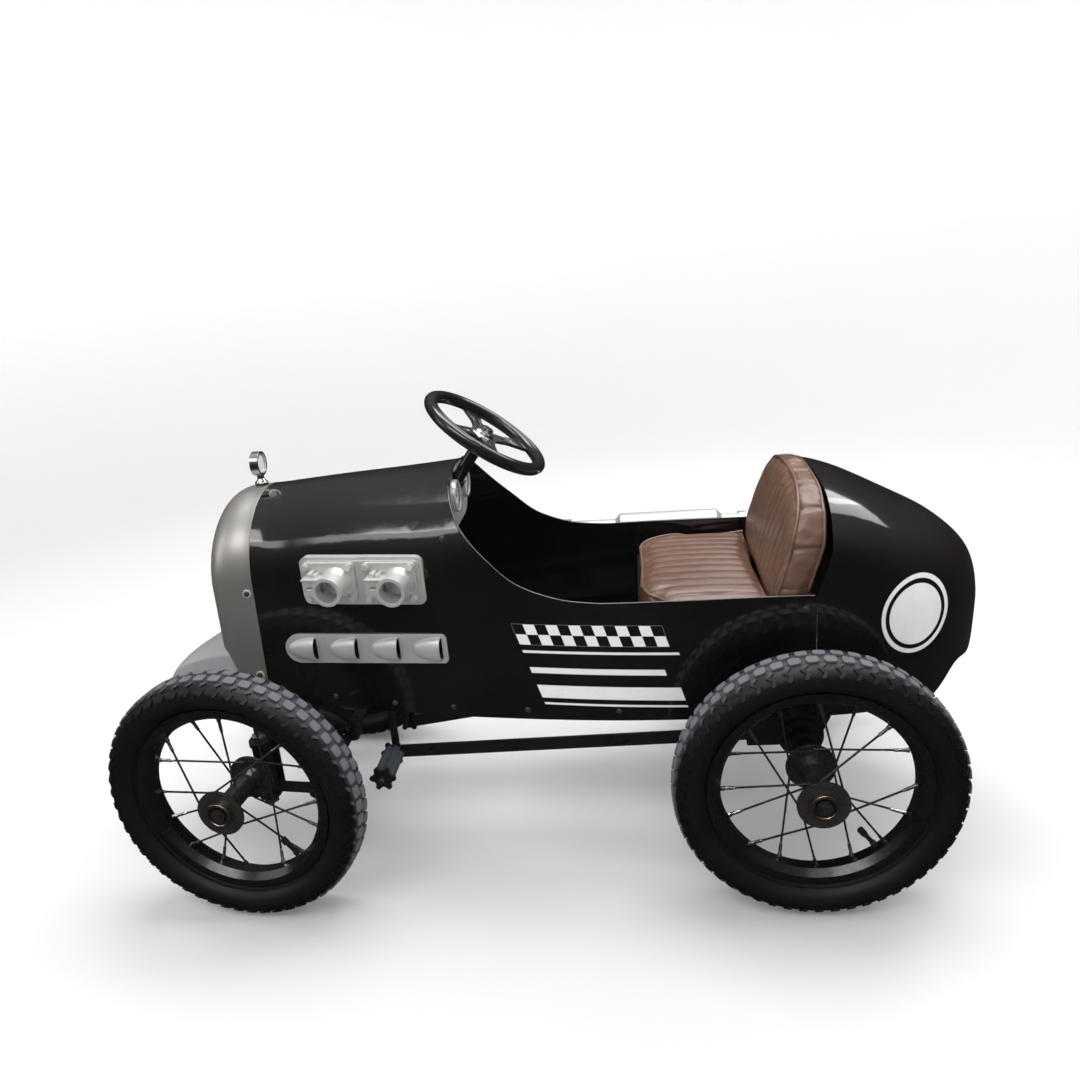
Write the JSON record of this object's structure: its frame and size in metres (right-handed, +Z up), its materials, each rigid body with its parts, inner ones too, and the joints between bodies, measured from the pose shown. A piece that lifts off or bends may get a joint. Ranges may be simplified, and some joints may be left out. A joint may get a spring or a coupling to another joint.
{
  "type": "pedal car",
  "caption": "Child's racer-style pedal car: black steel body, boat tail, silver radiator, treadle pedals and spoked wheels with knobbly tyres.",
  "frame": {"origin": "on the ground under the middle of the car's bounding box", "axes": "+X towards the nose, +Y to the car's left, +Z up"},
  "size_m": [1.01, 0.4754, 0.5599],
  "materials": {
    "gloss_black_paint": "gloss",
    "black_frame_paint": "satin",
    "satin_silver": "satin",
    "cast_aluminium": "satin",
    "polished_metal": "polished",
    "bright_steel": "satin",
    "black_screws": "semi-gloss",
    "tyre_rubber": "matte",
    "pedal_rubber": "satin",
    "brown_leatherette": "satin",
    "gauge_face": "gloss",
    "gauge_black": "gloss",
    "steering_black": "gloss"
  },
  "bodies": {
    "chassis": {"body_shell": "gloss_black_paint", "tail_shell": "gloss_black_paint", "seat_box": "black_frame_paint", "chassis_rails": "black_frame_paint", "chassis_crossmembers": "black_frame_paint", "front_axle_beam": "black_frame_paint", "kingpins": "bright_steel", "radiator_shell": "satin_silver", "radiator_grille": "black_frame_paint", "radiator_cap": "polished_metal", "nose_apron": "satin_silver", "dash_panel": "satin_silver", "gauge_bezels": "gauge_black", "gauge_faces": "gauge_face", "intake_backplate": "cast_aluminium", "intake_castings": "cast_aluminium", "intake_bolts": "bright_steel", "louvre_panel": "cast_aluminium", "exhaust_pipe": "satin_silver", "exhaust_muffler": "satin_silver", "exhaust_brackets": "bright_steel", "seat_cushion": "brown_leatherette", "seat_back": "brown_leatherette", "column_bushes": "black_frame_paint", "pedal_pivot_shaft": "bright_steel", "pedal_pivot_brackets": "black_frame_paint", "rear_hangers": "black_frame_paint", "rear_bearings": "black_frame_paint", "body_screws": "black_screws"},
    "steering_column_body": {"steering_wheel_rim": "steering_black", "steering_wheel_spider": "polished_metal", "steering_wheel_screws": "polished_metal", "steering_column": "steering_black", "pitman_arm": "black_frame_paint"},
    "knuckle_left_body": {"knuckle_left": "black_frame_paint"},
    "knuckle_right_body": {"knuckle_right": "black_frame_paint"},
    "tie_rod_body": {"tie_rod": "black_frame_paint"},
    "wheel_front_left": {"tyre_front_left": "tyre_rubber", "rim_front_left": "gloss_black_paint", "spokes_front_left": "black_frame_paint", "hub_front_left": "black_frame_paint"},
    "wheel_front_right": {"tyre_front_right": "tyre_rubber", "rim_front_right": "gloss_black_paint", "spokes_front_right": "black_frame_paint", "hub_front_right": "black_frame_paint"},
    "drive_axle": {"crank_axle": "black_frame_paint", "tyre_rear_right": "tyre_rubber", "rim_rear_right": "gloss_black_paint", "spokes_rear_right": "black_frame_paint", "hub_rear_right": "black_frame_paint"},
    "wheel_rear_left": {"tyre_rear_left": "tyre_rubber", "rim_rear_left": "gloss_black_paint", "spokes_rear_left": "black_frame_paint", "hub_rear_left": "black_frame_paint"},
    "pedal_left": {"pedal_hanger_left": "black_frame_paint"},
    "pedal_right": {"pedal_hanger_right": "black_frame_paint"},
    "pedal_block_left_body": {"pedal_block_left": "pedal_rubber"},
    "pedal_block_right_body": {"pedal_block_right": "pedal_rubber"},
    "push_strap_left_body": {"push_strap_left": "black_frame_paint"},
    "push_strap_right_body": {"push_strap_right": "black_frame_paint"}
  },
  "joints": [
    {"name": "steering_turn", "type": "hinge", "parent": "chassis", "child": "steering_column_body", "pos_m": [0.052, 0, 0.509], "axis": [-0.5948, 0, 0.8039], "range_deg": [-17.92, 32.95]},
    {"name": "knuckle_left_turn", "type": "hinge", "parent": "chassis", "child": "knuckle_left_body", "pos_m": [0.338, 0.13, 0.1525], "axis": [0, 0, 1], "range_deg": [-15.6, 28.6]},
    {"name": "knuckle_right_turn", "type": "hinge", "parent": "chassis", "child": "knuckle_right_body", "pos_m": [0.338, -0.13, 0.1525], "axis": [0, 0, 1], "range_deg": [-15.6, 28.6]},
    {"name": "tie_rod_swing", "type": "hinge", "parent": "knuckle_left_body", "child": "tie_rod_body", "pos_m": [0.2764, 0.13702, 0.115], "axis": [0, 0, 1], "range_deg": [-28.6, 15.6]},
    {"name": "front_left_wheel_spin", "type": "hinge", "parent": "knuckle_left_body", "child": "wheel_front_left", "pos_m": [0.34536, 0.19458, 0.1525], "axis": [0.1132, 0.9936, 0], "continuous": true},
    {"name": "front_right_wheel_spin", "type": "hinge", "parent": "knuckle_right_body", "child": "wheel_front_right", "pos_m": [0.33064, -0.19458, 0.1525], "axis": [0.1132, 0.9936, 0], "continuous": true},
    {"name": "drive_axle_spin", "type": "hinge", "parent": "chassis", "child": "drive_axle", "pos_m": [-0.295, 0, 0.1525], "axis": [0, 1, 0], "continuous": true},
    {"name": "rear_left_wheel_spin", "type": "hinge", "parent": "drive_axle", "child": "wheel_rear_left", "pos_m": [-0.295, 0.195, 0.1525], "axis": [0, 1, 0], "continuous": true},
    {"name": "pedal_left_swing", "type": "hinge", "parent": "chassis", "child": "pedal_left", "pos_m": [0.207, 0.028, 0.33], "axis": [0, 1, 0], "range_deg": [-7.7, 7.7]},
    {"name": "pedal_right_swing", "type": "hinge", "parent": "chassis", "child": "pedal_right", "pos_m": [0.207, -0.028, 0.33], "axis": [0, 1, 0], "range_deg": [-7.7, 7.7]},
    {"name": "pedal_block_left_spin", "type": "hinge", "parent": "pedal_left", "child": "pedal_block_left_body", "pos_m": [0.207, 0.07, 0.106], "axis": [0, 1, 0], "continuous": true},
    {"name": "pedal_block_right_spin", "type": "hinge", "parent": "pedal_right", "child": "pedal_block_right_body", "pos_m": [0.207, -0.07, 0.106], "axis": [0, 1, 0], "continuous": true},
    {"name": "push_strap_left_swing", "type": "hinge", "parent": "pedal_left", "child": "push_strap_left_body", "pos_m": [0.207, 0.037, 0.106], "axis": [0, 1, 0], "range_deg": [-8, 8]},
    {"name": "push_strap_right_swing", "type": "hinge", "parent": "pedal_right", "child": "push_strap_right_body", "pos_m": [0.207, -0.037, 0.106], "axis": [0, 1, 0], "range_deg": [-8, 8]}
  ],
  "couplings": [
    {"joint": "knuckle_left_turn", "follows": "steering_turn", "ratio": 0.865},
    {"joint": "knuckle_right_turn", "follows": "steering_turn", "ratio": 0.865},
    {"joint": "tie_rod_swing", "follows": "steering_turn", "ratio": -0.865},
    {"joint": "pedal_right_swing", "follows": "pedal_left_swing", "ratio": -1},
    {"joint": "push_strap_left_swing", "follows": "pedal_left_swing", "ratio": -1},
    {"joint": "push_strap_right_swing", "follows": "pedal_left_swing", "ratio": 1}
  ]
}
